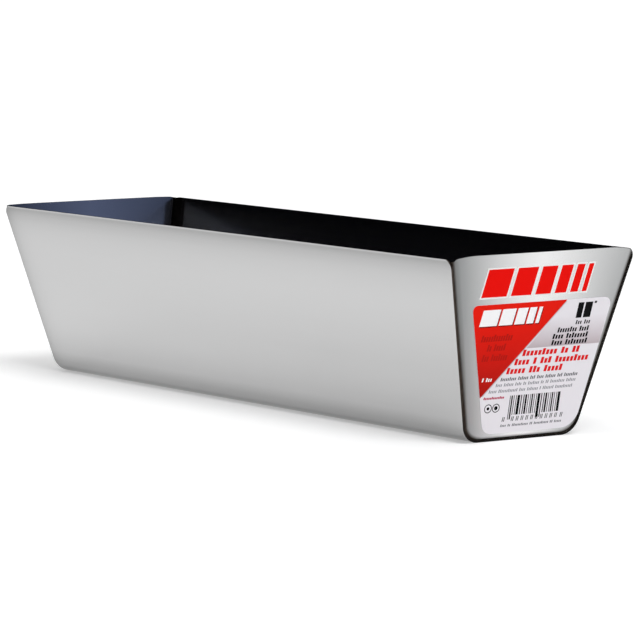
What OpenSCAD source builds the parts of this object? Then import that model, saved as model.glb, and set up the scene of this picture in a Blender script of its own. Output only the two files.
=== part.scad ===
// Drywall mud pan: a trough folded from one stainless sheet, closed by two
// flanged end caps that are welded into it, with a label and a printed mark.
// X runs along the pan (label end at +X), Y across it, Z up from the base.

/* [Pan] */
// Length over the rims
rim_length = 356; // [300:1:420]
// Width over the rims
rim_width = 97; // [90:1:120]
// Length of the base, to where the end planes meet it
base_length = 323; // [290:1:340]
// Width of the base, to where the wall planes meet it
base_width = 58; // [50:1:75]
// Height of the long walls
pan_height = 79; // [65:1:95]
// Outside radius of the folds between the walls and the base
fold_radius = 9; // [4:0.5:14]

/* [Sheet] */
// Thickness of the trough's sheet
trough_sheet_t = 0.8; // [0.6:0.1:1]
// Radius on the top corners of the long walls
wall_corner_radius = 3.6; // [2:0.1:6]

/* [End caps] */
// Thickness of the end caps' sheet
cap_sheet_t = 0.8; // [0.6:0.1:1]
// Outside radius of the bend between a cap's face and its flange
cap_bend_radius = 1.3; // [1.1:0.1:2.5]
// Depth of the flange, back from the cap's face
flange_depth = 9; // [6:1:15]
// How far the near cap's rim stands above the long walls
near_cap_rise = 1.1; // [0:0.1:2]
// How far the far cap's rim stands above the long walls
far_cap_rise = 0.4; // [0:0.1:2]
// How far below the long walls' rim the near cap's flange stops
near_flange_gap = 1; // [0.5:0.1:3]
// How far below the long walls' rim the far cap's flange stops
far_flange_gap = 0.3; // [0.3:0.1:3]

/* [Welds] */
// Distance from the long walls' rim down to the end of a weld bead
bead_top_gap = 2.5; // [2.5:0.5:12]

/* [Label] */
// Thickness of the label
label_t = 0.15; // [0.1:0.05:0.3]
// Height of the label's lower edge, up the near end
label_bottom = 3.4; // [2.5:0.1:10]
// Height of the label's upper edge, up the near end
label_top = 60.3; // [40:0.1:62]
// Width of the label's lower edge
label_bottom_width = 48.5; // [35:0.5:50]
// Width of the label's upper edge
label_top_width = 74; // [50:0.5:76]
// Sideways shift of the label's lower edge
label_bottom_shift = 4.15; // [0:0.05:5]
// Sideways shift of the label's upper edge
label_top_shift = 2.65; // [0:0.05:4]

/* [Printed mark] */
// Thickness of the ink
ink_t = 0.1; // [0.05:0.05:0.2]
// Height of the mark's lower edge, up the near end
mark_bottom = 63.5; // [62:0.5:66]
// Height of the mark itself
mark_height = 12; // [6:1:13]
// Left end of the mark
mark_start = -30.35; // [-34:0.05:-25]
// Lean of the bars, sideways shift per unit of height
mark_lean = 0.2; // [0:0.05:0.5]

/* [Hidden] */
$fn = 96;

wall_lean = atan((rim_width - base_width) / 2 / pan_height);
end_lean = atan((rim_length - base_length) / 2 / pan_height);
over = 2;                 // how far cutting shapes run past what they cut
arc_steps = 8;            // facets round each base corner of a cap
bend_steps = 4;           // facets round a cap's bend
bead_step = 2;            // bend facet at which the bead's surface meets the cap
rim_steps = 8;            // points on each rounded half of a cap's rim
rim_corner = 1.6;         // length of the tight corner of a cap's rim
rim_ease = 11;            // length over which the rim eases down towards its corner
rim_ease_share = 0.6;     // share of the whole drop that the ease takes
bar_widths = [13, 10.5, 8, 6, 4, 2.5];
bar_gap = 2.2;
label_radii = [4, 7, 4.5, 3]; // the label's corners, from the lower left one round

// ---- outlines -------------------------------------------------------------

function unit(v) = v / norm(v);

// Where an outline's corner i is rounded: its two tangent points and its centre
function corner(pts, radii, i) =
    let (n = len(pts), p = pts[i], r = radii[i],
         a = unit(pts[(i + n - 1) % n] - p), b = unit(pts[(i + 1) % n] - p),
         half = acos(a * b) / 2)
    [p + a * r / tan(half), p + b * r / tan(half), p + unit(a + b) * r / sin(half)];

// A convex outline whose corners are true arcs; radius 0 leaves a corner sharp
module rounded(pts, radii) {
    polygon([for (i = [0 : len(pts) - 1])
             let (c = corner(pts, radii, i))
             each radii[i] > 0 ? [c[0], c[1]] : [pts[i]]]);
    for (i = [0 : len(pts) - 1])
        if (radii[i] > 0)
            translate(corner(pts, radii, i)[2])
                circle(radii[i]);
}

// Half the trough's width at height z, the given distance inside its outer face
function half_width(z, inset) =
    base_width / 2 + z * tan(wall_lean) - inset / cos(wall_lean);

// Cross-section of the trough's outer face, moved in by inset and cut off at top
module trough_outline(inset, top) {
    rounded([[-half_width(top, inset), top], [-half_width(inset, inset), inset],
             [half_width(inset, inset), inset], [half_width(top, inset), top]],
            [0, fold_radius - inset, fold_radius - inset, 0]);
}

module run_along_x(length) {
    rotate([90, 0, 90])
        linear_extrude(height = length, center = true)
            children();
}

// Side view of the long walls: slanted ends and rounded top corners
module wall_outline() {
    rounded([[-base_length / 2, 0], [base_length / 2, 0],
             [rim_length / 2, pan_height], [-rim_length / 2, pan_height]],
            [0, 0, wall_corner_radius, wall_corner_radius]);
}

// Drawings in the plane of the near end: x across the pan, y up the slope
module on_near_end(height) {
    translate([base_length / 2, 0, 0])
        rotate([0, end_lean, 0])
            rotate([90, 0, 90])
                linear_extrude(height = height)
                    children();
}

// ---- end caps -------------------------------------------------------------

// Centre of the fold at the +Y side of the base
fold_y = corner([[-rim_width / 2, pan_height], [-base_width / 2, 0],
                 [base_width / 2, 0], [rim_width / 2, pan_height]],
                [0, 0, fold_radius, 0], 2)[2][0];
cap_radius = fold_radius - trough_sheet_t;

// One side's stations from its rim to the base: a point on the trough's inner
// face and the direction from there into the pan, both as [y, z]
function side_stations(top) =
    concat([[[half_width(top, trough_sheet_t), top], [-cos(wall_lean), sin(wall_lean)]]],
           [for (i = [0 : arc_steps])
            let (t = -wall_lean - i * (90 - wall_lean) / arc_steps, d = [cos(t), sin(t)])
            [[fold_y, fold_radius] + cap_radius * d, -d]]);

// The whole way round: down the -Y wall, along the base and up the +Y wall
function stations(top) =
    let (s = side_stations(top), n = len(s))
    concat([for (i = [0 : n - 1]) [[-s[i][0][0], s[i][0][1]], [-s[i][1][0], s[i][1][1]]]],
           [for (i = [n - 1 : -1 : 0]) s[i]]);

// The point that lies in by a along the cap's face and back by b along X
function place(station, a, b) =
    let (p = station[0] + a * station[1])
    [base_length / 2 + p[1] * tan(end_lean) - b, p[0], p[1]];

// Points [a, b] of an arc from the flange (turn 90) to the face (turn 0)
function bend_point(r, turn) =
    [cap_bend_radius - r * sin(turn), cap_bend_radius - r * cos(turn)];

// Section of the flange and the bend, from the flange's edge round to its edge
function cap_section() =
    concat([[0, flange_depth]],
           [for (i = [0 : bend_steps]) bend_point(cap_bend_radius, 90 - i * 90 / bend_steps)],
           [for (i = [0 : bend_steps])
            bend_point(cap_bend_radius - cap_sheet_t, i * 90 / bend_steps)],
           [[cap_sheet_t, flange_depth]]);

// Share of the whole drop to its corner that a cap's rim has fallen, at
// distance s from the corner
function rim_fall(s) =
    rim_ease_share * pow(max(0, 1 - s / rim_ease), 1.8)
    + (s < rim_corner ? (1 - rim_ease_share) * (1 - sqrt(1 - pow(1 - s / rim_corner, 2))) : 0);

// Rim points [y, z] from the +Y corner to the -Y corner, where the corner is
// the point at which the face leaves its bend
function rim_points(rise, gap) =
    let (half = half_width(pan_height - gap, trough_sheet_t) - cap_bend_radius * cos(wall_lean),
         drop = rise + gap - cap_bend_radius * sin(wall_lean),
         side = [for (i = [1 : rim_steps])
                 let (s = rim_ease * pow(i / rim_steps, 1.7))
                 [half - s, pan_height + rise - drop * rim_fall(s)]])
    concat(side, [for (i = [rim_steps - 1 : -1 : 0]) [-side[i][0], side[i][1]]]);

// A tube of the given section carried past the stations, as faces: count is
// the number of points in the section, gap the side that is left open
function strips(n, count, gap) =
    [for (j = [0 : n - 2], k = [0 : count - 1])
     let (k2 = (k + 1) % count)
     if (k != gap)
         [j * count + k, j * count + k2, (j + 1) * count + k2, (j + 1) * count + k]];

function end_faces(n, count) =
    [[for (k = [count - 1 : -1 : 0]) k], [for (k = [0 : count - 1]) (n - 1) * count + k]];

// A stamped cap: flange, bend and flat face in one sheet
module end_cap(rise, gap) {
    st = stations(pan_height - gap);
    sec = cap_section();
    n = len(st);
    c = len(sec);
    face_k = bend_steps + 1;
    rim = rim_points(rise, gap);
    m = len(rim);
    first = n * c;
    points = concat([for (s = st, q = sec) place(s, q[0], q[1])],
                    [for (r = rim) place([r, [0, 0]], 0, 0)],
                    [for (r = rim) place([r, [0, 0]], 0, cap_sheet_t)]);
    front = concat([for (j = [0 : n - 1]) j * c + face_k], [for (i = [0 : m - 1]) first + i]);
    back = concat([for (j = [0 : n - 1]) j * c + face_k + 1],
                  [for (i = [0 : m - 1]) first + m + i]);
    all = len(front);
    rim_faces = [for (i = [n - 1 : all - 1])
                 [front[i], front[(i + 1) % all], back[(i + 1) % all], back[i]]];
    polyhedron(points,
               concat(strips(n, c, face_k), end_faces(n, c), rim_faces,
                      [[for (i = [all - 1 : -1 : 0]) front[i]]], [back]));
}

// Filler between the trough's cut edge and a cap's bend
module weld_bead() {
    st = stations(pan_height - bead_top_gap);
    arc = [for (i = [bead_step : -1 : 0]) bend_point(cap_bend_radius, 90 - i * 90 / bend_steps)];
    sec = concat(arc, [[0, arc[0][1]]]);
    points = [for (s = st, q = sec) place(s, q[0], q[1])];
    polyhedron(points, concat(strips(len(st), len(sec), -1), end_faces(len(st), len(sec))));
}

// ---- nodes ----------------------------------------------------------------

module trough_sheet() {
    color("silver")
        intersection() {
            difference() {
                run_along_x(rim_length + over)
                    trough_outline(0, pan_height);
                run_along_x(rim_length + 2 * over)
                    trough_outline(trough_sheet_t, pan_height + over);
            }
            rotate([90, 0, 0])
                linear_extrude(height = rim_width + over, center = true)
                    wall_outline();
        }
}

module near_end_cap() {
    color("lightgray")
        end_cap(near_cap_rise, near_flange_gap);
}

module far_end_cap() {
    color("lightgray")
        mirror([1, 0, 0])
            end_cap(far_cap_rise, far_flange_gap);
}

module near_weld_bead() {
    color("dimgray")
        weld_bead();
}

module far_weld_bead() {
    color("dimgray")
        mirror([1, 0, 0])
            weld_bead();
}

module label() {
    color("whitesmoke")
        on_near_end(label_t)
            rounded([[label_bottom_shift - label_bottom_width / 2, label_bottom],
                     [label_bottom_shift + label_bottom_width / 2, label_bottom],
                     [label_top_shift + label_top_width / 2, label_top],
                     [label_top_shift - label_top_width / 2, label_top]],
                    label_radii);
}

// Sum of the first n bars and the gaps after them
function bar_start(n) = n == 0 ? mark_start : bar_start(n - 1) + bar_widths[n - 1] + bar_gap;

module printed_mark() {
    lean = mark_lean * mark_height;
    color("red")
        on_near_end(ink_t)
            for (i = [0 : len(bar_widths) - 1])
                translate([bar_start(i), mark_bottom])
                    polygon([[0, 0], [bar_widths[i], 0],
                             [bar_widths[i] + lean, mark_height], [lean, mark_height]]);
}

trough_sheet();
near_end_cap();
far_end_cap();
near_weld_bead();
far_weld_bead();
label();
printed_mark();
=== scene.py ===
# Drywall mud pan: brushed stainless trough and end caps, weld seams, label and printed mark.
import bpy
import bmesh
import math
import numpy as np
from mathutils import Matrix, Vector


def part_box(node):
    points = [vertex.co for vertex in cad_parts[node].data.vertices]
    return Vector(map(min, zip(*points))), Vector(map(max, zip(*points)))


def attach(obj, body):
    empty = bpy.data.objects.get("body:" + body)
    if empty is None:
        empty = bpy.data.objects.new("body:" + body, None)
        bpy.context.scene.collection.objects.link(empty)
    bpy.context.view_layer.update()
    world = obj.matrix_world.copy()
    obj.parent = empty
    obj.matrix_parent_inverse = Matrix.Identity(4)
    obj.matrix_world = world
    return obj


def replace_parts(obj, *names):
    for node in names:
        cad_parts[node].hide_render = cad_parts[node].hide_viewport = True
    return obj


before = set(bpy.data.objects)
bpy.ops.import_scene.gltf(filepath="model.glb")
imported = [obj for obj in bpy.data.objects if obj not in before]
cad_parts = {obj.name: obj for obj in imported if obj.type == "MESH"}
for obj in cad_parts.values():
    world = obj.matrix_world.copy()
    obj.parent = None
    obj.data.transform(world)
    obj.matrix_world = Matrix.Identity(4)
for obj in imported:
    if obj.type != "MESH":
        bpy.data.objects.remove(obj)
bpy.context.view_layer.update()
mm = 0.001
print("frame loaded:", ", ".join(sorted(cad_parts)))

pan = {
    "rimLength": 356 * mm,          # over the rims
    "baseLength": 323 * mm,
    "baseWidth": 58 * mm,
    "foldRadius": 9 * mm,           # outside radius between wall and base
    "sheet": 0.8 * mm,
    "wallCorner": 3.6 * mm,         # radius on the long walls' top corners
    "rimRounding": 0.38 * mm,       # rounding of the polished rim
    "edgeRounding": 0.12 * mm,      # what deburring takes off the sheared ends
    "sway": 0.05 * mm,              # how far the long walls wander from flat
    "columns": 61,                  # points along the trough
}
troughLow, troughHigh = (np.array(c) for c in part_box("trough_sheet"))
panHeight = troughHigh[2]
rimWidth = troughHigh[1] - troughLow[1]
wallLean = math.atan((rimWidth - pan["baseWidth"]) / 2 / panHeight)
endLean = math.atan((pan["rimLength"] - pan["baseLength"]) / 2 / panHeight)
foldY = pan["baseWidth"] / 2 - pan["foldRadius"] * math.tan((math.pi / 2 - wallLean) / 2)


def halfWidth(z, inset):
    # half the width between the leaning walls at height z, inset from their outer faces
    return pan["baseWidth"] / 2 + z * math.tan(wallLean) - inset / math.cos(wallLean)


def endX(z):
    # x of the leaning end plane at height z
    return pan["baseLength"] / 2 + z * math.tan(endLean)


def uPath(heights, inset, arcCount):
    # a U seen along the pan: straight wall down through the given heights, a true arc round the
    # fold, the base, and the same mirrored; returns y, z and the direction into the pan
    turn = np.linspace(-wallLean, -math.pi / 2, arcCount)
    radius = pan["foldRadius"] - inset
    y = np.concatenate([halfWidth(heights, inset), foldY + radius * np.cos(turn)])
    z = np.concatenate([heights, pan["foldRadius"] + radius * np.sin(turn)])
    ny = np.concatenate([np.full(len(heights), -math.cos(wallLean)), -np.cos(turn)])
    nz = np.concatenate([np.full(len(heights), math.sin(wallLean)), -np.sin(turn)])
    return (np.concatenate([-y, y[::-1]]), np.concatenate([z, z[::-1]]),
            np.concatenate([-ny, ny[::-1]]), np.concatenate([nz, nz[::-1]]))


def gridQuads(rows, cols, first=0, closed=False):
    # quads between neighbouring points of a rows x cols grid, numbered row by row
    r = np.arange(rows if closed else rows - 1)[:, None]
    c = np.arange(cols - 1)[None, :]
    a = first + r * cols + c
    b = first + (r + 1) % rows * cols + c
    return np.stack([a, a + 1, b + 1, b], -1).reshape(-1, 4)


def ribbon(a, b, closed=False):
    # quads between two matching rows of vertex numbers
    a2, b2 = (np.roll(a, -1), np.roll(b, -1)) if closed else (a[1:], b[1:])
    n = len(a2)
    return np.stack([a[:n], a2, b2, b[:n]], -1)


def makePiece(name, points, faces, mats, marks=None, values=None, smooth=True):
    # points (n, 3) and a list of face arrays become one closed object with outward normals. marks
    # says which of the materials each face array wears, and values holds a number for every point.
    mesh = bpy.data.meshes.new(name)
    mesh.from_pydata(points.tolist(), [], [f for block in faces for f in np.asarray(block).tolist()])
    for mat in mats:
        mesh.materials.append(mat)
    if marks:
        worn = np.concatenate([np.full(len(block), m) for block, m in zip(faces, marks)])
        mesh.polygons.foreach_set("material_index", worn.astype(np.int32))
    for key, numbers in (values or {}).items():
        layer = mesh.attributes.new(key, "FLOAT", "POINT")
        layer.data.foreach_set("value", np.asarray(numbers, dtype=np.float32).ravel())
    bm = bmesh.new()
    bm.from_mesh(mesh)
    bmesh.ops.remove_doubles(bm, verts=bm.verts, dist=1e-7)
    bmesh.ops.dissolve_degenerate(bm, edges=bm.edges, dist=1e-8)
    bmesh.ops.recalc_face_normals(bm, faces=bm.faces)
    bm.to_mesh(mesh)
    bm.free()
    mesh.polygons.foreach_set("use_smooth", np.full(len(mesh.polygons), smooth))
    obj = bpy.data.objects.new(name, mesh)
    bpy.context.collection.objects.link(obj)
    return obj


def roundEdges(obj, width, least=None, rimZ=None):
    # Rounds every sharp edge, and keeps the flat faces flat. With a rim height, edges along it are
    # rounded by width and all others by least.
    bevel = obj.modifiers.new("deburred", "BEVEL")
    bevel.width = width
    bevel.segments = 3
    bevel.harden_normals = True
    if rimZ is None:
        bevel.limit_method = "ANGLE"
        bevel.angle_limit = math.radians(40)
        return
    bevel.limit_method = "WEIGHT"
    bm = bmesh.new()
    bm.from_mesh(obj.data)
    weight = bm.edges.layers.float.new("bevel_weight_edge")
    for edge in bm.edges:
        if edge.is_manifold and edge.calc_face_angle() > math.radians(40):
            rim = min(v.co.z for v in edge.verts) > rimZ
            edge[weight] = 1.0 if rim else least / width
    bm.to_mesh(obj.data)
    bm.free()


def linear(hexColour):
    # sRGB hex to linear rgba
    c = np.array([int(hexColour[i:i + 2], 16) for i in (1, 3, 5)]) / 255
    return (*np.where(c <= 0.04045, c / 12.92, ((c + 0.055) / 1.055) ** 2.4).tolist(), 1.0)


def node(mat, kind, settings=None, links=None):
    # one shader node: settings go to its properties or input sockets, links join it to others
    tree = mat.node_tree
    n = tree.nodes.new(kind)
    for key, value in (settings or {}).items():
        if isinstance(key, int) or key in n.inputs:
            n.inputs[key].default_value = value
        else:
            setattr(n, key, value)
    for key, source in (links or {}).items():
        tree.links.new(source, n.inputs[key])
    return n


def newMaterial(name, settings):
    # a material and its shader, whose input sockets take the settings
    mat = bpy.data.materials.new(name)
    mat.use_nodes = True
    shader = mat.node_tree.nodes["Principled BSDF"]
    for key, value in settings.items():
        shader.inputs[key].default_value = value
    return mat, shader


def ramp(mat, source, stops):
    # a colour ramp from [position, rgba] stops
    n = node(mat, "ShaderNodeValToRGB", {}, {"Fac": source})
    while len(n.color_ramp.elements) < len(stops):
        n.color_ramp.elements.new(0.5)
    for element, (position, colour) in zip(n.color_ramp.elements, stops):
        element.position = position
        element.color = colour
    return n.outputs["Color"]


def value(mat, name):
    # a number stored on the points of the mesh
    return node(mat, "ShaderNodeAttribute", {"attribute_name": name}).outputs["Fac"]


def mixed(mat, factor, first, second):
    # a colour between two, each an output or a plain rgba
    n = node(mat, "ShaderNodeMix", {"data_type": "RGBA"}, {"Factor": factor})
    for socket, colour in ((n.inputs[6], first), (n.inputs[7], second)):
        if isinstance(colour, tuple):
            socket.default_value = colour
        else:
            mat.node_tree.links.new(colour, socket)
    return n.outputs[2]


def brushedSteel(name, colour, shaded, roughness, lineScale):
    # Stainless sheet, belt-brushed: satin grey metal whose fine parallel lines blur reflections.
    # lineScale is lines per metre along x, y and z; lines run where it is small. Real lines are
    # finer: these are about 0.4 mm wide, so that they show faintly. The colour is painted greyer by
    # one stored value, painted shade along rims, folds, ends and sides, and brown-black by another,
    # partly the weld's heat tint and partly painted shade along the seam.
    mat, shader = newMaterial(name, {"Metallic": 1.0})
    place = node(mat, "ShaderNodeTexCoord").outputs["Object"]
    stretch = node(mat, "ShaderNodeMapping", {"Scale": lineScale}, {"Vector": place})
    lines = node(mat, "ShaderNodeTexNoise", {"Scale": 1.0, "Detail": 4.0, "Roughness": 0.6},
                 {"Vector": stretch.outputs[0]}).outputs["Fac"]
    grey = ramp(mat, lines, [(0.3, tuple(v * 0.975 for v in linear(colour)[:3]) + (1.0,)),
                             (0.65, linear(colour))])
    # painted shade: the grey goes darker where the stored value is high
    shadedGrey = mixed(mat, value(mat, "paintedShade"), grey, linear(shaded))
    scorchAndShade = ramp(mat, lines, [(0.35, linear("#211D1A")), (0.65, linear("#3B342E"))])
    # brown-black: the weld's heat tint, partly painted shade along the seam
    tinted = mixed(mat, value(mat, "weldTintAndShade"), shadedGrey, scorchAndShade)
    mat.node_tree.links.new(tinted, shader.inputs["Base Color"])
    rough = node(mat, "ShaderNodeMapRange", {"From Min": 0.35, "From Max": 0.65,
                                             "To Min": roughness - 0.012,
                                             "To Max": roughness + 0.012}, {"Value": lines})
    mat.node_tree.links.new(rough.outputs[0], shader.inputs["Roughness"])
    bump = node(mat, "ShaderNodeBump", {"Strength": 0.02, "Distance": 0.01 * mm}, {"Height": lines})
    mat.node_tree.links.new(bump.outputs[0], shader.inputs["Normal"])
    return mat


# walls and caps are the same stainless: the caps' grey is set lighter and the walls' darker, painted
# light and painted shade for how each is lit
troughSteel = brushedSteel("stainlessBrushedAlong", "#C4C4C4", "#8A8A8A", 0.17, (14, 2400, 2400))
capSteel = brushedSteel("stainlessBrushedUpright", "#E6E6E6", "#8C8E8E", 0.18, (220, 2400, 14))

# Sheared sheet edge beside the weld: dull and scorched, with painted shade making it darker towards +y
# and towards the base.
shearedSteel, shearedShader = newMaterial("stainlessShearedScorchedAndShaded", {"Metallic": 1.0,
                                                                       "Roughness": 0.5})
shearedSteel.node_tree.links.new(
    ramp(shearedSteel, value(shearedSteel, "scorchAndShade"), [(0.0, linear("#463E38")),
                                                     (1.0, linear("#1C1A18"))]),
    shearedShader.inputs["Base Color"])

# Heat-tinted weld metal: dull, brown-black oxide left by the arc, a little bare steel on the ridges.
weldSteel, weldShader = newMaterial("weldHeatTinted", {"Metallic": 1.0, "Roughness": 0.5})
weldPlace = node(weldSteel, "ShaderNodeTexCoord").outputs["Object"]
weldNoise = node(weldSteel, "ShaderNodeTexNoise", {"Scale": 700.0, "Detail": 3.0},
                 {"Vector": weldPlace}).outputs["Fac"]
weldSteel.node_tree.links.new(
    ramp(weldSteel, weldNoise, [(0.3, linear("#26211E")), (0.6, linear("#453D37")),
                                (0.8, linear("#6E665E"))]), weldShader.inputs["Base Color"])


def film(name, stops, roughness=0.45, shine=0.04):
    # Ink on plastic film: smooth, softly glossy. One stop gives an even colour, and more give a
    # ramp over the tone that the piece stores, which runs from 0 to 1.
    mat, shader = newMaterial(name, {"Roughness": roughness, "Specular IOR Level": shine})
    stops = [(position, linear(colour)) for position, colour in stops]
    if len(stops) == 1:
        shader.inputs["Base Color"].default_value = stops[0][1]
    else:
        mat.node_tree.links.new(ramp(mat, value(mat, "tone"), stops), shader.inputs["Base Color"])
    return mat


labelFilm = film("labelFilmWhite", [(0, "#EDEAEE")], 0.4, 0.25)
redPrint = film("labelInkRedField", [(0.0, "#AE160E"), (0.55, "#D81A0E"), (1.0, "#EC1C0C")])
redLines = film("labelInkRed", [(0, "#E01A1E")])
faintPrint = film("labelInkFaintRed", [(0, "#B9180F")])
crimsonPrint = film("labelInkCrimson", [(0, "#B80F46")])
shadowPrint = film("labelInkShadowRed", [(0, "#7E120C")])
whitePrint = film("labelInkWhite", [(0, "#FFFFFF")])
blackPrint = film("labelInkBlack", [(0, "#0C0C0E")])
greyPrint = film("labelInkGrey", [(0, "#5E5E64")])
paleGreyPrint = film("labelInkPaleGrey", [(0, "#85858C")])
fadePrint = film("labelInkFade", [(0.0, "#77686A"), (0.3, "#BFB2B6"), (1.0, "#EDEAEE")])
screenRed = film("screenInkRed", [(0, "#F20C04")])
screenWhite = film("screenInkWhite", [(0, "#F4F6F4")])
print("materials made")


# painted shade on the trough's colour and on its cut edges
shadePaint = {
    "rim": 0.85, "low": 0.16, "end": 0.5, "fold": 0.6,  # how strong the painted shade is at each place
    "fade": 5 * mm,                 # how fast it fades from the rims and from the -x end
    "bright": 1 * mm,               # strip along the rims that the painted shade leaves out, so the rim stays bright
    "edgeShadeFade": 30 * mm,          # the cut edges' painted shade fades over this height, and this width towards -y
}


def makeTrough():
    # x = reach(z) * t, where reach is the leaning end line, rounded by a circle at the wall's top
    # corner; y, z follow the U outside and come back inside, so the section is one closed loop
    lean = math.pi / 2 - endLean
    tangent = pan["wallCorner"] / math.tan(lean / 2)
    cx = pan["rimLength"] / 2 - tangent
    cz = panHeight - pan["wallCorner"]
    turn = np.linspace(math.pi / 2, -endLean, 14)       # from the rim down to the end line
    upper = cz + pan["wallCorner"] * np.sin(turn)
    lowest = pan["foldRadius"] * (1 - math.sin(wallLean))
    heights = np.concatenate([upper, np.linspace(upper[-1], lowest, 20)[1:-1]])

    def reach(z):
        # half the wall's length at height z
        off = np.clip(pan["wallCorner"] ** 2 - (z - cz) ** 2, 0, None)
        return np.where(z > upper[-1], cx + np.sqrt(off), endX(z))

    outer = uPath(heights, 0.0, 20)
    inner = uPath(heights, pan["sheet"], 20)
    y = np.concatenate([outer[0], inner[0][::-1]])
    z = np.concatenate([outer[1], inner[1][::-1]])
    ny = np.concatenate([outer[2], inner[2][::-1]])
    nz = np.concatenate([outer[3], inner[3][::-1]])
    t = np.sin(np.linspace(-1, 1, pan["columns"]) * math.pi / 2)    # close together at the ends
    x = reach(z)[:, None] * t[None, :]
    # a slow wander across the sheet, still at the ends and at the folds
    hold = (1 - t ** 4)[None, :] * np.clip(z / panHeight, 0, 1)[:, None]
    wander = pan["sway"] * hold * (np.sin(x * 31 + 0.6) + 0.6 * np.sin(x * 67 + z[:, None] * 40))
    points = np.stack([x, y[:, None] + wander * ny[:, None], z[:, None] + wander * nz[:, None]], -1)
    rows, cols = points.shape[:2]
    half = np.arange(rows // 2)
    back = rows - 1 - half
    faces = [gridQuads(rows, cols, closed=True)]
    for column in (0, cols - 1):
        faces.append(ribbon(half * cols + column, back * cols + column))
    # painted shade fades away from the rims, the folds and the -x end, and is faint and broad low on the
    # +x half; the cut end edges get painted shade, darker towards +y and the base
    px, py, pz = points[..., 0], points[..., 1], points[..., 2]
    fromRim, fromEnd = panHeight - pz, px + endX(pz)
    rimShade = shadePaint["rim"] * np.exp(-fromRim / shadePaint["fade"]) * np.clip(fromRim / shadePaint["bright"], 0, 1)
    lowShade = (shadePaint["low"] * np.clip(0.6 + px / (200 * mm), 0, 1)
               * np.clip(2.2 - 3 * pz / panHeight, 0, 1))
    paintedShade = (rimShade + lowShade + shadePaint["end"] * np.exp(-fromEnd / shadePaint["fade"])
            + shadePaint["fold"] * np.clip(1 - pz / pan["foldRadius"], 0, 1) ** 0.7)
    scorchAndShade = (np.clip(0.5 + py / shadePaint["edgeShadeFade"], 0, 1)
              + np.clip(1 - pz / shadePaint["edgeShadeFade"], 0, 1))
    trough = makePiece("trough", points.reshape(-1, 3), faces, [troughSteel, shearedSteel],
                       [0, 1, 1], {"paintedShade": np.clip(paintedShade, 0, 1), "scorchAndShade": np.clip(scorchAndShade, 0, 1)})
    roundEdges(trough, pan["rimRounding"], pan["edgeRounding"], panHeight - 0.01 * mm)
    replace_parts(trough, "trough_sheet")
    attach(trough, "root")


makeTrough()
print("trough made")

cap = {
    "sheet": 0.8 * mm,
    "bend": 1.3 * mm,               # outside radius between face and flange
    "flange": 9 * mm,
    "flangeGap": {"near_end_cap": 1 * mm, "far_end_cap": 0.3 * mm},  # flange below the walls' rim
    "rimCorner": 1.6 * mm,          # length of the tight corner at each end of the rim
    "rimEase": 11 * mm,             # length over which the rim eases down to it
    "rimEaseShare": 0.6,            # share of the whole drop that the ease takes
    "crown": 0.5 * mm,              # how far pressing leaves the face bowed outwards
    "edgeRounding": 0.36 * mm,
    "tintAndShadeFull": 0.8 * mm,           # the weld's heat tint with painted shade along the seam: full to here, gone at the next value
    "tintAndShadeEnd": 2.1 * mm,
    "tintAndShadeSpread": 1.3 * mm,         # how much further it reaches high on the -Y side
    "tintAndShadeWeak": 0.6,                # how much of it is lost there
    "tintAndShadeBase": 0.5 * mm,           # how much narrower it is along the base
    # painted shade towards the sides of the face
    "sideShade": 0.9,
    "columns": 57,                  # points across a face
}


def bow(y, z):
    # outward bow of a cap's face: a parabola across, growing from the base to the rim
    across = 1 - (y / (halfWidth(z, pan["sheet"]) - cap["bend"] * math.cos(wallLean))) ** 2
    return cap["crown"] * np.clip(across, 0, 1) * (1 - (1 - np.clip(z / panHeight, 0, 1)) ** 2)


def seamDistance(y, z):
    # distance in from the trough's inner face, which is two straight sides and an arc between them
    side = (halfWidth(z, pan["sheet"]) - np.abs(y)) * math.cos(wallLean)
    fromBase = z - pan["sheet"]
    qy, qz = np.abs(y) - foldY, z - pan["foldRadius"]
    inFold = (qy > 0) & (qz * math.cos(wallLean) + qy * math.sin(wallLean) < 0)
    arc = pan["foldRadius"] - pan["sheet"] - np.hypot(qy, qz)
    return np.where(inFold, arc, np.minimum(side, fromBase))


def section(arcCount):
    # flange and bend as [in along the face, back from the face]: flange edge, outer arc, then the
    # inner arc back to the flange edge
    turn = np.linspace(math.pi / 2, 0, arcCount)
    outer = np.stack([1 - np.sin(turn), 1 - np.cos(turn)], -1) * cap["bend"]
    inner = (np.stack([-np.sin(turn), -np.cos(turn)], -1) * (cap["bend"] - cap["sheet"])
             + cap["bend"])[::-1]
    edge = np.array([[0, cap["flange"]], [cap["sheet"], cap["flange"]]])
    return np.concatenate([edge[:1], outer, inner, edge[1:]])


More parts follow.
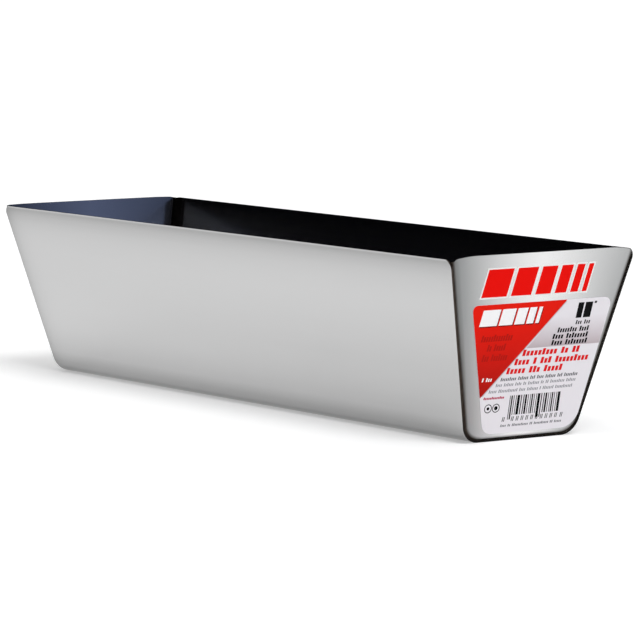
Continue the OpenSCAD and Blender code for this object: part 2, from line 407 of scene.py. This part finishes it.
def makeCap(name, nodeName, side):
    # a stamped cap: x = endX(z) + bow(y, z) over the face, and the same less the sheet behind it; the
    # skirt is section() swept along the U, and it opens into the face at the end of its outer arc
    heights = np.linspace(panHeight - cap["flangeGap"][nodeName],
                          pan["foldRadius"] * (1 - math.sin(wallLean)), 12)[:-1]
    y, z, ny, nz = uPath(heights, pan["sheet"], 20)
    # the flat base takes one point for each column of the face, so that skirt and face share edges
    t = np.sin(np.linspace(-1, 1, cap["columns"]) * math.pi / 2)    # close together at the sides
    up = len(y) // 2                                    # points on each side of the base
    y = np.concatenate([y[:up], y[up] * t[1:-1], y[up:]])
    z, ny, nz = (np.concatenate([v[:up], np.full(len(t) - 2, v[up]), v[up:]]) for v in (z, ny, nz))
    arcCount = 9
    shape = section(arcCount)
    a, b = shape[:, 0][None, :], shape[:, 1][None, :]
    py = y[:, None] + a * ny[:, None]
    pz = z[:, None] + a * nz[:, None]
    share = np.clip(a / cap["bend"], 0, 1) ** 2
    px = endX(pz) - b + bow(py, pz) * share
    skirt = np.stack([px, py, pz], -1)
    rows, cols = skirt.shape[:2]
    k = arcCount                                        # last point of the outer arc
    quads = gridQuads(rows, cols)
    keep = quads[:, 0] % cols != k
    closing = ribbon(np.arange(rows) * cols + cols - 1, np.arange(rows) * cols)
    faces = [quads[keep], closing, [np.arange(cols)], [(rows - 1) * cols + np.arange(cols)]]

    # the face, in level rows from the base up to the rim; each row runs between the outline's
    # sides. The rim falls to its corner by a power curve, then by a quarter of an ellipse.
    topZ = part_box(nodeName)[1][2]
    cornerY, cornerZ = skirt[-1, k, 1], skirt[-1, k, 2]
    s = cap["rimEase"] * np.linspace(0, 1, 26)[1:] ** 1.7
    corner = np.clip(1 - s / cap["rimCorner"], 0, 1)
    fall = (cap["rimEaseShare"] * (1 - s / cap["rimEase"]) ** 1.8
            + (1 - cap["rimEaseShare"]) * (1 - np.sqrt(1 - corner ** 2)))
    sideY = np.concatenate([skirt[-up:, k, 1], cornerY - s])
    sideZ = np.concatenate([skirt[-up:, k, 2], topZ - (topZ - cornerZ) * fall])
    fy = sideY[:, None] * t[None, :]
    fz = np.repeat(sideZ[:, None], len(t), 1)
    front = np.stack([endX(fz) + bow(fy, fz), fy, fz], -1)
    rear = front - np.array([cap["sheet"], 0, 0])
    frows, fcols = fz.shape
    start, rearStart = rows * cols, rows * cols + frows * fcols
    faces += [gridQuads(frows, fcols, start), gridQuads(frows, fcols, rearStart)]
    rim = np.arange(up - 1, frows)                      # rows whose sides are free edges
    for column in (0, fcols - 1):
        faces.append(ribbon(start + rim * fcols + column, rearStart + rim * fcols + column))
    top = (frows - 1) * fcols + np.arange(fcols)
    faces.append(ribbon(start + top, rearStart + top))
    points = np.concatenate([skirt.reshape(-1, 3), front.reshape(-1, 3), rear.reshape(-1, 3)])
    points[:, 0] *= side
    # the weld's heat tint, with painted shade along the seam, fades in from the weld: narrower along the
    # base, and wider but weaker high on the -Y side; painted shade darkens the face towards its sides,
    # more so at -Y
    inwards = seamDistance(points[:, 1], points[:, 2])
    inwards += cap["tintAndShadeBase"] * np.clip(6 - np.abs(points[:, 1]) / (4 * mm), 0, 1)
    high = (np.clip(0.5 - points[:, 1] / (20 * mm), 0, 1)
            * np.clip((points[:, 2] - 15 * mm) / (35 * mm), 0, 1))
    end = cap["tintAndShadeEnd"] + cap["tintAndShadeSpread"] * high
    tintAndShade = np.clip((end - inwards) / (end - cap["tintAndShadeFull"]), 0, 1)
    tintAndShade *= 1 - cap["tintAndShadeWeak"] * high * np.clip(inwards / (1 * mm) - 0.4, 0, 1)
    across = np.abs(points[:, 1]) / (halfWidth(points[:, 2], pan["sheet"]) - cap["bend"])
    paintedShade = (cap["sideShade"] - points[:, 1] / (300 * mm)) * np.clip(across, 0, 1) ** 1.3
    piece = makePiece(name, points, faces, [capSteel], None,
                      {"weldTintAndShade": tintAndShade, "paintedShade": np.clip(paintedShade, 0, 1)})
    roundEdges(piece, cap["edgeRounding"])
    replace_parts(piece, nodeName)
    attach(piece, "root")


makeCap("nearCap", "near_end_cap", 1)
makeCap("farCap", "far_end_cap", -1)
print("end caps made")

bead = {
    "topGap": 2.5 * mm,
    "depth": 0.36 * mm,             # how far the bead's surface lies below the cap's face
    "ripple": 0.008 * mm,
    "ripplePitch": 1.2 * mm,
}


def makeBead(name, nodeName, side):
    # a sliver along the groove: flat on the trough, arc on the bend, with a rippled hollow surface
    heights = np.linspace(panHeight - bead["topGap"],
                          pan["foldRadius"] * (1 - math.sin(wallLean)), 420)[:-1]
    y, z, ny, nz = uPath(heights, pan["sheet"], 80)
    run = np.concatenate([[0], np.cumsum(np.hypot(np.diff(y), np.diff(z)))])
    level = bead["depth"] + bead["ripple"] * np.sin(run * 2 * math.pi / bead["ripplePitch"])
    turn = np.linspace(math.pi / 2, math.pi / 4, 5)
    arcA = (1 - np.sin(turn)) * cap["bend"]
    arcB = (1 - np.cos(turn)) * cap["bend"]
    n = len(y)
    a = np.concatenate([np.tile(arcA, (n, 1)), np.tile([arcA[-1] * 0.5, 0], (n, 1))], 1)
    b = np.concatenate([np.tile(arcB, (n, 1)), (level + 0.1 * mm)[:, None], level[:, None]], 1)
    py = y[:, None] + a * ny[:, None]
    pz = z[:, None] + a * nz[:, None]
    points = np.stack([(endX(pz) - b) * side, py, pz], -1)
    rows, cols = points.shape[:2]
    idx = np.arange(rows) * cols
    faces = [gridQuads(rows, cols), ribbon(idx + cols - 1, idx),
             [np.arange(cols)], [(rows - 1) * cols + np.arange(cols)]]
    piece = makePiece(name, points.reshape(-1, 3), faces, [weldSteel])
    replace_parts(piece, nodeName)
    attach(piece, "root")


makeBead("nearBead", "near_weld_bead", 1)
makeBead("farBead", "far_weld_bead", -1)
print("weld beads made")

label = {
    "bottom": 3.4 * mm, "top": 60.3 * mm,                # up the slope of the end
    "leftLow": -20.75 * mm, "leftHigh": -35 * mm,
    "rightLow": 27.75 * mm, "rightHigh": 39 * mm,
    "corners": (4 * mm, 7 * mm, 4.5 * mm, 3 * mm),       # low left, low right, high right, high left
    "film": 0.15 * mm, "ink": 0.03 * mm,
    "bedded": 0.05 * mm, "sunk": 0.02 * mm,              # how far film and print sink into what is under
    "offset": 0.65 * mm,                                 # all artwork's shift off the centre line
}


def onEnd(u, v, lift):
    # a point u across and v up the slope of the near end, lifted off its bowed face
    u = u + label["offset"]
    z = v * math.cos(endLean)
    x = pan["baseLength"] / 2 + v * math.sin(endLean) + bow(u, z)
    return np.stack([x + lift * math.cos(endLean), u, z - lift * math.sin(endLean)], -1)


def edgeLine(v, low, high):
    # a straight side from low at the label's lower edge to high at its upper edge
    return low + (high - low) * (v - label["bottom"]) / (label["top"] - label["bottom"])


def cornerCut(v, low, high, rLow, rHigh):
    # one slanted side of the label with an arc at each end, as u for each v
    u = edgeLine(v, low, high)
    outward = np.sign(low)
    dLow = np.clip(1 - (v - label["bottom"]) / rLow, 0, 1)
    dHigh = np.clip(1 - (label["top"] - v) / rHigh, 0, 1)
    return u - outward * (rLow * (1 - np.sqrt(1 - dLow ** 2)) + rHigh * (1 - np.sqrt(1 - dHigh ** 2)))


def labelLeft(v):
    # the label's left side, u for each v
    c = label["corners"]
    return cornerCut(v, label["leftLow"], label["leftHigh"], c[0], c[3])


def labelRight(v):
    # the label's right side, u for each v
    c = label["corners"]
    return cornerCut(v, label["rightLow"], label["rightHigh"], c[1], c[2])


def patch(v, left, right, cols, lowLift, highLift, tone=None):
    # a thin closed slab on the end: level rows from left(v) to right(v). tone gives each point its
    # printed tone from its row's height and its share of the way across.
    t = np.linspace(0, 1, cols)[None, :]
    u = left[:, None] * (1 - t) + right[:, None] * t
    vv = np.repeat(v[:, None], cols, 1)
    tones = np.zeros(u.shape) if tone is None else np.broadcast_to(tone(vv, t), u.shape)
    upper, lower = onEnd(u, vv, highLift), onEnd(u, vv, lowLift)
    rows, n = len(v), len(v) * cols
    i, j = np.arange(rows) * cols, np.arange(cols)
    faces = [gridQuads(rows, cols), gridQuads(rows, cols, n)]
    for edge in (i, i + cols - 1, j, (rows - 1) * cols + j):
        faces.append(ribbon(edge, edge + n))
    return (np.concatenate([upper.reshape(-1, 3), lower.reshape(-1, 3)]), faces,
            np.tile(tones.ravel(), 2))


def ring(cu, cv, rIn, rOut, layer=1, count=28):
    # a flat printed ring round cu, cv
    a = np.linspace(0, 2 * math.pi, count, endpoint=False)[:, None]
    r = np.array([[rIn, rOut]])
    base = label["film"] + (layer - 1) * label["ink"]
    u, v = cu + r * np.cos(a), cv + r * np.sin(a)
    upper, lower = onEnd(u, v, base + label["ink"]), onEnd(u, v, base - label["sunk"])
    n, i = 2 * count, np.arange(count) * 2
    faces = [gridQuads(count, 2, 0, True), gridQuads(count, 2, n, True),
             ribbon(i, i + n, True), ribbon(i + 1, i + 1 + n, True)]
    return np.concatenate([upper.reshape(-1, 3), lower.reshape(-1, 3)]), faces, np.zeros(2 * n)


def joined(patches):
    # many patches as one set of points, faces and tones
    points, faces, tones, first = [], [], [], 0
    for p, fs, tone in patches:
        points.append(p)
        tones.append(tone)
        faces += [np.asarray(f) + first for f in fs]
        first += len(p)
    return np.concatenate(points), faces, np.concatenate(tones)


def spacing(low, high, ends):
    # rows from low to high that crowd towards both ends
    t = (1 - np.cos(np.linspace(0, math.pi, ends))) / 2
    return low + (high - low) * t


def bar(u0, v0, width, height, lean=0.2, layer=1):
    # one leaning printed bar, its corner at u0, v0
    v = np.linspace(v0, v0 + height, max(2, int(height / (3 * mm)) + 1))
    shift = (v - v0) * lean
    base = label["film"] + (layer - 1) * label["ink"]
    cols = max(2, int(width / (2 * mm)) + 1)
    return patch(v, u0 + shift, u0 + shift + width, cols, base - label["sunk"], base + label["ink"])


def words(u0, u1, v, height, lengths, bold=0.62, lean=0.2, layer=1):
    # a line of plain strokes from u0 to u1, grouped like words of the given numbers of strokes: every
    # stroke has the same foot, and a fixed rule makes some taller than the rest
    pitch = (u1 - u0) / (sum(lengths) + 0.9 * (len(lengths) - 1))
    out, u, i = [], u0, 0
    for group, count in enumerate(lengths):
        for k in range(count):
            tall = k == 0 or (i * 7 + group * 3) % 5 == 0
            out.append(bar(u, v, pitch * bold, height * (1 if tall else 0.76), lean, layer))
            u += pitch
            i += 1
        u += pitch * 0.9
    return out


def inkPiece(name, patches, mat):
    # one colour of print, which rides with the pan
    points, faces, tones = joined(patches)
    piece = makePiece(name, points, faces, [mat], None, {"tone": tones}, smooth=False)
    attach(piece, "root")
    return piece


def makeLabel():
    # the film: level rows between its two sides, closer together at the rounded corners
    v = np.unique(np.concatenate([spacing(label["bottom"], label["bottom"] + 7 * mm, 14),
                                  np.linspace(label["bottom"] + 7 * mm, label["top"] - 5 * mm, 20),
                                  spacing(label["top"] - 5 * mm, label["top"], 14)]))
    points, faces = patch(v, labelLeft(v), labelRight(v), 40, -label["bedded"], label["film"])[:2]
    piece = makePiece("labelFilm", points, faces, [labelFilm], smooth=False)
    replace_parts(piece, "label")
    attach(piece, "root")


fields = {
    "foot": (-24.8, 19.5), "head": (14.2, 60),          # ends of the red field's slant, as u, v in mm
    "fadeLow": 40.1 * mm, "fadeHigh": 53 * mm,          # the fade box beside it
    "shadeWidth": 1.1 * mm,                             # the soft shadow along the slant
}


def diagonal(v):
    # right-hand edge of the red field: a straight line from its foot to its head
    (u0, v0), (u1, v1) = fields["foot"], fields["head"]
    return (u0 + (v / mm - v0) * (u1 - u0) / (v1 - v0)) * mm


def makeFields():
    # red field, the fade box beside it, and the field's soft shadow
    low, ink = label["film"] - label["sunk"], label["ink"]
    v = np.unique(np.concatenate([np.linspace(19.6 * mm, 55 * mm, 14),
                                  spacing(55 * mm, label["top"] - 0.02 * mm, 12)]))
    left = labelLeft(v) + 0.05 * mm
    right = np.maximum(diagonal(v), left + 0.05 * mm)
    # the red field's colour is darker towards its foot and brighter towards its head
    inkPiece("labelRedField",
             [patch(v, left, right, 26, low, label["film"] + ink,
                    lambda h, t: np.clip((h - 20 * mm) / (34 * mm), 0, 1))], redPrint)
    foot, head, width = fields["fadeLow"], fields["fadeHigh"], fields["shadeWidth"]
    v = np.linspace(foot, head, 9)
    box = patch(v, diagonal(v) + width, labelRight(v) - 0.15 * mm, 18, low,
                label["film"] + 0.3 * ink,
                lambda h, t: 0.3 + 0.7 * np.clip((h - foot) / (head - foot), 0, 1) ** 0.8)
    v = np.linspace(20.2 * mm, 59.6 * mm, 24)
    shade = patch(v, diagonal(v), diagonal(v) + width, 6, low, label["film"] + 0.4 * ink,
                  lambda h, t: t ** 0.7)
    inkPiece("labelFade", [box, shade], fadePrint)


# sizes in mm. Bars are (start, width); lines of text are (from, to, foot, height, strokes in each
# word, boldness).
artwork = {
    "markBars": ((-30.2, 9), (-20.2, 7), (-12.2, 5.2), (-6.0, 3.6), (-1.2, 1.8)),
    "markFoot": 51, "markHeight": 7, "markShadow": (0.4, -0.5),
    "sizeBars": ((20.2, 3), (24.0, 3.9)), "sizeFoot": 51.9, "sizeHeight": 6.7,
    "white": ((-25, -19.6, 26.7, 1.6, (1, 3), 0.62),),
    "faint": ((-28.2, -12, 44.2, 2.9, (13,), 0.7), (-24.6, -15, 40.0, 2.9, (2, 5), 0.7),
              (-26.6, -13.4, 35.6, 2.9, (3, 7), 0.7)),
    "black": ((20.6, 28.6, 49.1, 1.8, (3, 3), 0.6), (11.4, 28.3, 46.0, 2.2, (8, 4), 0.66),
              (9.2, 28.3, 43.3, 2.2, (4, 8), 0.66), (9.0, 28.3, 40.6, 2.2, (4, 8), 0.66)),
    "red": ((-5.6, 24.9, 36.8, 2.75, (9, 2, 2), 0.72), (-9.2, 30.3, 33.0, 2.75, (4, 1, 3, 9), 0.72),
            (-12.8, 16.9, 29.3, 2.75, (5, 3, 5), 0.72)),
    "crimson": ((-22.8, -12, 18.7, 1.1, (13,), 0.75),),
    "grey": ((-15.2, 25.7, 26.4, 1.5, (9, 6, 3, 4, 6, 3, 8), 0.6),
             (-12, 20.4, 6.1, 1.1, (4, 2, 11, 2, 10, 2, 5), 0.55)),
    "paleGrey": ((-17.3, 25.1, 24.0, 1.4, (4, 6, 4, 2, 7, 2, 2, 9, 6), 0.5),
                 (-20.5, 23.7, 21.4, 1.4, (5, 12, 4, 7, 1, 7, 11), 0.5)),
    "codeStart": -8.9, "codeEnd": 17.6, "codeTop": 19.7,
    "codeFoot": 11.1, "codeLongFoot": 9.2,              # most bars stop here, and a few reach lower
    "codeLong": (0, 1, 13, 14, 25, 26),
    "codeWidths": (0.35, 0.9, 0.5, 1.3, 0.35, 0.7), "codeGaps": (0.45, 0.8, 0.55),
    "ringSpots": ((-19.7, 0.7), (-15.6, 0.9)), "ringHeight": 14.7, "ringRadii": (1.6, 1.95),
    "tick": (29.4, 57.9, 1.2, 0.9),                     # start, foot, width and height
    "pairs": 12, "pairPitch": 2.55, "pairFoot": 8.4, "pairHeight": 2.0,
    "pairFirst": -11.6, "pairRow": -9.4, "pairLast": 19.0,
    "pairGap": 0.8, "pairWidth": 0.36,
}


def textLines(key, layer=1):
    # the strokes of every line of one ink
    return [stroke for low, high, foot, height, strokes, bold in artwork[key]
            for stroke in words(low * mm, high * mm, foot * mm, height * mm, strokes, bold,
                                layer=layer)]


def codeBars():
    # a run of upright bars, thick and thin by a fixed rule
    out, u, i = [], artwork["codeStart"], 0
    while u < artwork["codeEnd"]:
        width = artwork["codeWidths"][(i * 5 + i // 3) % 6]
        foot = artwork["codeLongFoot" if i in artwork["codeLong"] else "codeFoot"]
        out.append(bar(u * mm, foot * mm, width * mm, (artwork["codeTop"] - foot) * mm, lean=0.0))
        u += width + artwork["codeGaps"][(i * 2) % 3]
        i += 1
    return out


def codePairs():
    # plain paired marks under the bars, the first and last pair standing outside them
    out, last = [], artwork["pairs"] - 1
    for i in range(artwork["pairs"]):
        u = artwork["pairRow"] + artwork["pairPitch"] * i
        if i in (0, last):
            u = artwork["pairLast" if i else "pairFirst"]
        for shift in (0, artwork["pairGap"]):
            out.append(bar((u + shift) * mm, artwork["pairFoot"] * mm, artwork["pairWidth"] * mm,
                           artwork["pairHeight"] * mm, lean=0.15))
    return out


def makePrint():
    # every ink on the label, each as one piece
    foot, height, (du, dv) = artwork["markFoot"], artwork["markHeight"], artwork["markShadow"]
    inkPiece("labelMarkShadow",
             [bar((u + du) * mm, (foot + dv) * mm, w * mm, height * mm, layer=2)
              for u, w in artwork["markBars"]], shadowPrint)
    mark = [bar(u * mm, foot * mm, w * mm, height * mm, layer=3) for u, w in artwork["markBars"]]
    inkPiece("labelWhiteMark", mark + textLines("white", 3), whitePrint)
    inkPiece("labelFaintMark", textLines("faint", 2), faintPrint)
    black = [bar(u * mm, artwork["sizeFoot"] * mm, w * mm, artwork["sizeHeight"] * mm, lean=0.12)
             for u, w in artwork["sizeBars"]]
    black.append(bar(*(size * mm for size in artwork["tick"])))     # small tick beside them
    black += textLines("black") + codeBars()
    rIn, rOut = artwork["ringRadii"]
    for u, spot in artwork["ringSpots"]:
        black.append(ring(u * mm, artwork["ringHeight"] * mm, rIn * mm, rOut * mm))
        black.append(ring(u * mm, artwork["ringHeight"] * mm, 0.05 * mm, spot * mm))
    inkPiece("labelBlackPrint", black + codePairs(), blackPrint)
    inkPiece("labelRedPrint", textLines("red"), redLines)
    inkPiece("labelCrimsonPrint", textLines("crimson"), crimsonPrint)
    inkPiece("labelGreyPrint", textLines("grey"), greyPrint)
    inkPiece("labelPaleGreyPrint", textLines("paleGrey"), paleGreyPrint)


stripe = {
    "bottom": 63.5 * mm, "height": 12 * mm, "start": -31 * mm, "lean": 0.2,
    "widths": (13, 10.5, 8, 6, 4, 2.5), "gap": 2.2, "keyline": 0.7 * mm, "ink": 0.05 * mm,
}


def makeStripes():
    # six leaning bars, each narrower than the last, over a slightly larger pale underprint
    red, pale, u = [], [], stripe["start"]
    for width in stripe["widths"]:
        for out, grow, low, high in ((pale, stripe["keyline"], -label["sunk"], stripe["ink"]),
                                     (red, 0.0, 0.0, 2 * stripe["ink"])):
            v = np.linspace(stripe["bottom"] - grow, stripe["bottom"] + stripe["height"] + grow, 5)
            left = u - grow + (v - stripe["bottom"]) * stripe["lean"]
            out.append(patch(v, left, left + width * mm + 2 * grow, 8, low, high))
        u += (width + stripe["gap"]) * mm
    inkPiece("markUnderprint", pale, screenWhite)
    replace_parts(inkPiece("markRed", red, screenRed), "printed_mark")


makeLabel()
makeFields()
makePrint()
makeStripes()
print("label and mark made")

# angles in degrees; a light's "towards" points from the pan to the light
studio = {
    "floorSide": 60.0, "floorColour": "#F4F4F4", "floorGlow": 0.35, "floorDrop": 0.05 * mm,
    "overheadPower": 1.4, "overheadAngle": 84,
    "keyPower": 1.4, "keyAngle": 30, "keyTowards": (0.60, -0.10, 0.79),
    "cardPower": 2.1, "cardTowards": (0.80, 0.57, 0.22), "cardDistance": 2.6,
    "cardSize": (2.6, 1.4), "cardColour": (0.45, 0.57, 1.0),
    "fillPower": 0.022, "fillAngle": 15, "fillTowards": (0.82, -0.35, 0.46),
    "aim": (1.9 * mm, 9.2 * mm, 36.1 * mm), "distance": 1966 * mm,
    "azimuth": -55.125, "elevation": 5.9, "lens": 245.7, "surround": (0.002, 0.002, 0.003, 1),
}
floorMesh = bpy.data.meshes.new("floor")
side = studio["floorSide"] / 2
floorMesh.from_pydata([(-side, -side, 0), (side, -side, 0), (side, side, 0), (-side, side, 0)], [],
                      [(0, 1, 2, 3)])
# Opal acrylic table lit from below: pale and matt, and bright enough to keep shadows faint.
floorMat = newMaterial("floorOpalAcrylic", {
    "Roughness": 1.0, "Specular IOR Level": 0.0, "Base Color": linear(studio["floorColour"]),
    "Emission Color": (1, 1, 1, 1), "Emission Strength": studio["floorGlow"]})[0]
floorMesh.materials.append(floorMat)
floor = bpy.data.objects.new("floor", floorMesh)
floor.location.z = -studio["floorDrop"]                 # clear of the pan's flat base
bpy.context.collection.objects.link(floor)


def addLight(name, kind, power, towards, colour=(1, 1, 1)):
    # a light that shines from the given direction onto the pan
    lamp = bpy.data.lights.new(name, kind)
    lamp.energy = power
    lamp.color = colour
    lampObject = bpy.data.objects.new(name, lamp)
    lampObject.rotation_euler = Vector(towards).to_track_quat("Z", "Y").to_euler()
    bpy.context.collection.objects.link(lampObject)
    return lampObject


addLight("overhead", "SUN", studio["overheadPower"], (0, 0, 1)).data.angle = \
    math.radians(studio["overheadAngle"])
addLight("key", "SUN", studio["keyPower"], studio["keyTowards"]).data.angle = \
    math.radians(studio["keyAngle"])
# a small fill in the card's colour, for the far corner, where one steel face mirrors another
addLight("cornerFill", "SUN", studio["fillPower"], studio["fillTowards"],
         studio["cardColour"]).data.angle = math.radians(studio["fillAngle"])
card = addLight("blueCard", "AREA", studio["cardPower"], studio["cardTowards"],
                studio["cardColour"])
card.data.shape = "RECTANGLE"
card.data.size, card.data.size_y = studio["cardSize"]
card.location = Vector(studio["cardTowards"]).normalized() * studio["cardDistance"]

# a surround that is almost black, so that steel facing away from the lights goes dark
world = bpy.data.worlds.new("studio")
world.use_nodes = True
bpy.context.scene.world = world
world.node_tree.nodes["Background"].inputs["Color"].default_value = studio["surround"]

# the camera looks at the aim from the given distance, along azimuth and elevation
camera = bpy.data.cameras.new("camera")
camera.lens = studio["lens"]
camera.clip_end = 100
cameraObject = bpy.data.objects.new("camera", camera)
azimuth, elevation = math.radians(studio["azimuth"]), math.radians(studio["elevation"])
towards = Vector((math.sin(azimuth) * math.cos(elevation), math.cos(azimuth) * math.cos(elevation),
                  -math.sin(elevation)))
cameraObject.location = Vector(studio["aim"]) - towards * studio["distance"]
cameraObject.rotation_euler = towards.to_track_quat("-Z", "Y").to_euler()
bpy.context.collection.objects.link(cameraObject)
bpy.context.scene.camera = cameraObject
bpy.context.scene.view_settings.view_transform = "Standard"
